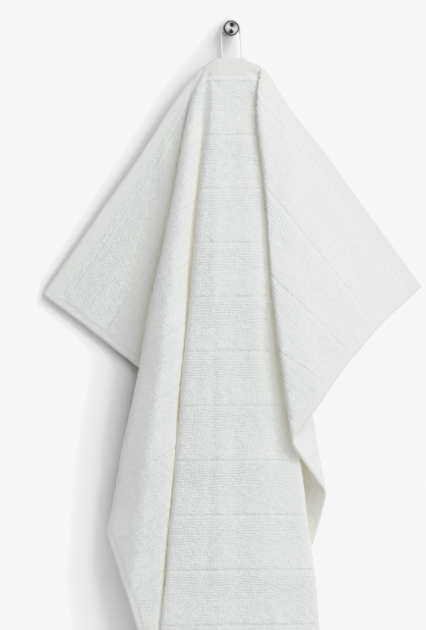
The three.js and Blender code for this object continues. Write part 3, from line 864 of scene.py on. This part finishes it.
def steel_material():
    m = Nodes("turned_steel")
    x, y, z = m.parts(m.add("ShaderNodeTexCoord").outputs["Object"])
    radius = m.math("SQRT", m.math("ADD", m.math("MULTIPLY", x, x), m.math("MULTIPLY", z, z)))
    rings = m.add("ShaderNodeCombineXYZ")
    m.join(m.math("MULTIPLY", radius, 1000.0), rings.inputs[0])
    m.join(m.math("MULTIPLY", y, 300.0), rings.inputs[1])
    marks = m.noise(rings.outputs[0], 9.0, 3.0, 0.7)
    m.bump(marks, 0.25, 0.00008)
    steel = m.mix(marks, STEEL_LOW, STEEL_HIGH)
    # painted reflection: the turning marks' glint to the sides and their dark fall above and
    # below the centre are painted into the colour
    upright = m.math("DIVIDE", m.math("ABSOLUTE", z), m.math("ADD", radius, 1e-5))
    painted_reflection = m.math("MULTIPLY", m.between(upright, 0.70, 0.97), m.between(radius, 0.0005, 0.0014))
    steel = m.mix(m.math("MULTIPLY", painted_reflection, 0.95), steel, STEEL_PAINTED_REFLECTION_DARK)
    steel = m.mix(m.between(radius, 0.0038, 0.0042), steel, RING_TINT)
    # the rim is dark on the front face only
    front = -PEG_LENGTH * MM
    face = m.between(y, front + 0.0004, front + 0.0010, 1.0, 0.0)
    rim = m.math("MULTIPLY", m.between(radius, 0.0050, 0.0056), face)
    steel = m.mix(m.math("MULTIPLY", rim, 0.85), steel, RIM_TINT)
    m.join(steel, m.shader.inputs["Base Color"])
    tangent = m.add("ShaderNodeTangent", direction_type="RADIAL", axis="Y")
    m.join(tangent.outputs[0], m.shader.inputs["Tangent"])
    m.set(Metallic=1.0, Roughness=0.28, Anisotropic=0.8)
    return m.material


towel.data.materials.append(terry_material())
stitches.data.materials.append(thread_material())
tape.data.materials.append(tape_material())
peg.data.materials.append(steel_material())

# The stage: a backdrop just behind the peg's back, a floor, and a card out of the picture.
BACKDROP_Y, BACKDROP_HALF, BACKDROP_TOP = 0.0006, 2.5, 1.6
FLOOR_Z, FLOOR_HALF = -1.0, 4
CARD_X, CARD_NEAR, CARD_FAR = -0.46, -1.3, -0.04
CARD_BOTTOM, CARD_TOP = -0.50, 0.7
BACKDROP_PAINT, BACKDROP_SHADED = (0.94, 0.93, 0.90), (0.62, 0.62, 0.61)
BACKDROP_GLOW = 0.38
SHADOW_REACH = 0.07


def plain_material(name, colour):
    m = Nodes(name)
    m.set(Base_Color=(*colour, 1.0), Roughness=0.9, Specular_IOR_Level=0.2)
    return m


def stage_plane(name, corners, material):
    """A flat surface that is no piece of the part."""
    obj = new_object(name, np.array(corners) / MM, [(0, 1, 2, 3)], smooth_shading=False)
    obj.data.materials.append(material)
    return obj


def glowing(m):
    """Lights the backdrop from within, less where the towel's soft shadow falls at its left."""
    x, _, _ = m.parts(m.add("ShaderNodeTexCoord").outputs["Object"])
    left = m.between(x, -0.03, 0.03, 1.0, 0.0)
    nearby = m.add("ShaderNodeAmbientOcclusion", samples=12)
    nearby.inputs["Distance"].default_value = SHADOW_REACH
    shade = m.math("MULTIPLY", m.between(nearby.outputs["AO"], 0.45, 1.0, 1.0, 0.0), left)
    glow = m.math("SUBTRACT", BACKDROP_GLOW, m.math("MULTIPLY", shade, BACKDROP_GLOW))
    m.set(Emission_Color=(1.0, 1.0, 1.0, 1.0))
    m.join(glow, m.shader.inputs["Emission Strength"])
    m.join(m.mix(shade, BACKDROP_PAINT, BACKDROP_SHADED), m.shader.inputs["Base Color"])
    return m


def one_sided(m):
    """Shows the backdrop's front only, so a view from behind it still sees the towel."""
    geometry = m.add("ShaderNodeNewGeometry")
    clear = m.add("ShaderNodeBsdfTransparent")
    blend = m.add("ShaderNodeMixShader")
    m.join(geometry.outputs["Backfacing"], blend.inputs[0])
    m.join(m.shader.outputs[0], blend.inputs[1])
    m.join(clear.outputs[0], blend.inputs[2])
    m.join(blend.outputs[0], m.output.inputs["Surface"])
    return m.material


backdrop = stage_plane(
    "backdrop",
    [(-BACKDROP_HALF, BACKDROP_Y, FLOOR_Z), (BACKDROP_HALF, BACKDROP_Y, FLOOR_Z),
     (BACKDROP_HALF, BACKDROP_Y, BACKDROP_TOP), (-BACKDROP_HALF, BACKDROP_Y, BACKDROP_TOP)],
    one_sided(glowing(plain_material("backdrop_paint", BACKDROP_PAINT))))
backdrop.visible_shadow = False
stage_plane(
    "floor",
    [(-FLOOR_HALF, -FLOOR_HALF, FLOOR_Z), (FLOOR_HALF, -FLOOR_HALF, FLOOR_Z),
     (FLOOR_HALF, FLOOR_HALF, FLOOR_Z), (-FLOOR_HALF, FLOOR_HALF, FLOOR_Z)],
    plain_material("floor_paint", (0.85, 0.85, 0.85)).material)
# The dark card keeps light off the towel's left, as in the photograph.
card = stage_plane(
    "dark_card",
    [(CARD_X, CARD_NEAR, CARD_BOTTOM), (CARD_X, CARD_FAR, CARD_BOTTOM),
     (CARD_X, CARD_FAR, CARD_TOP), (CARD_X, CARD_NEAR, CARD_TOP)],
    plain_material("card_paint", (0.02, 0.02, 0.02)).material)
card.visible_camera = False


def area_light(name, at, aim, size, power, colour=(1, 1, 1)):
    """A square light that faces a point."""
    data = bpy.data.lights.new(name, "AREA")
    data.shape = "SQUARE"
    data.size = size
    data.energy = power
    data.color = colour
    obj = bpy.data.objects.new(name, data)
    bpy.context.scene.collection.objects.link(obj)
    obj.location = at
    obj.rotation_euler = (Vector(aim) - Vector(at)).to_track_quat("-Z", "Y").to_euler()


area_light("key", at=(0.66, -1.45, 0.92), aim=(0, 0, -0.25), size=1.4, power=39.5,
           colour=(0.93, 0.96, 1.0))
area_light("rear_fill", at=(0.5, 2.6, 0.8), aim=(0, 0, -0.3), size=2.0, power=7.0)


def add_room_light(colour, strength):
    world = bpy.data.worlds.new("soft_room")
    world.use_nodes = True
    background = world.node_tree.nodes["Background"]
    background.inputs["Color"].default_value = (*colour, 1.0)
    background.inputs["Strength"].default_value = strength
    bpy.context.scene.world = world


add_room_light(colour=(0.965, 0.975, 1.0), strength=0.34)

# The response: light in the scene against the tone shown, up to the whitest light.
WHITEST_LIGHT, WHITEST_TONE = 1.14, 0.918
RESPONSE = (
    (0.12, 0.12), (0.28, 0.39), (0.45, 0.53), (0.62, 0.625),
    (0.76, 0.74), (0.88, 0.80), (1.00, 0.835), (1.08, 0.86),
)
COMBINED_CURVE = 3


def photographic_response():
    """White cloth settles just under the bright backdrop, as the photograph's tones do."""
    view = bpy.context.scene.view_settings
    view.view_transform = "Standard"
    view.use_curve_mapping = True
    mapping = view.curve_mapping
    mapping.white_level = (WHITEST_LIGHT, WHITEST_LIGHT, WHITEST_LIGHT)
    mapping.extend = "HORIZONTAL"
    curve = mapping.curves[COMBINED_CURVE]
    curve.points[0].location = (0.0, 0.0)
    curve.points[-1].location = (1.0, WHITEST_TONE)
    for scene_light, tone in RESPONSE:
        curve.points.new(scene_light / WHITEST_LIGHT, tone)
    mapping.update()


photographic_response()

# Each piece hangs from the root body, and the part of model.glb that it stands in for is hidden.
for piece, node, slot in ((towel, "towel", "terry"), (tape, "hanging_loop", "tape"),
                          (peg, "peg", "steel")):
    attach(piece, "root")
    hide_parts(node)
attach(stitches, "root")
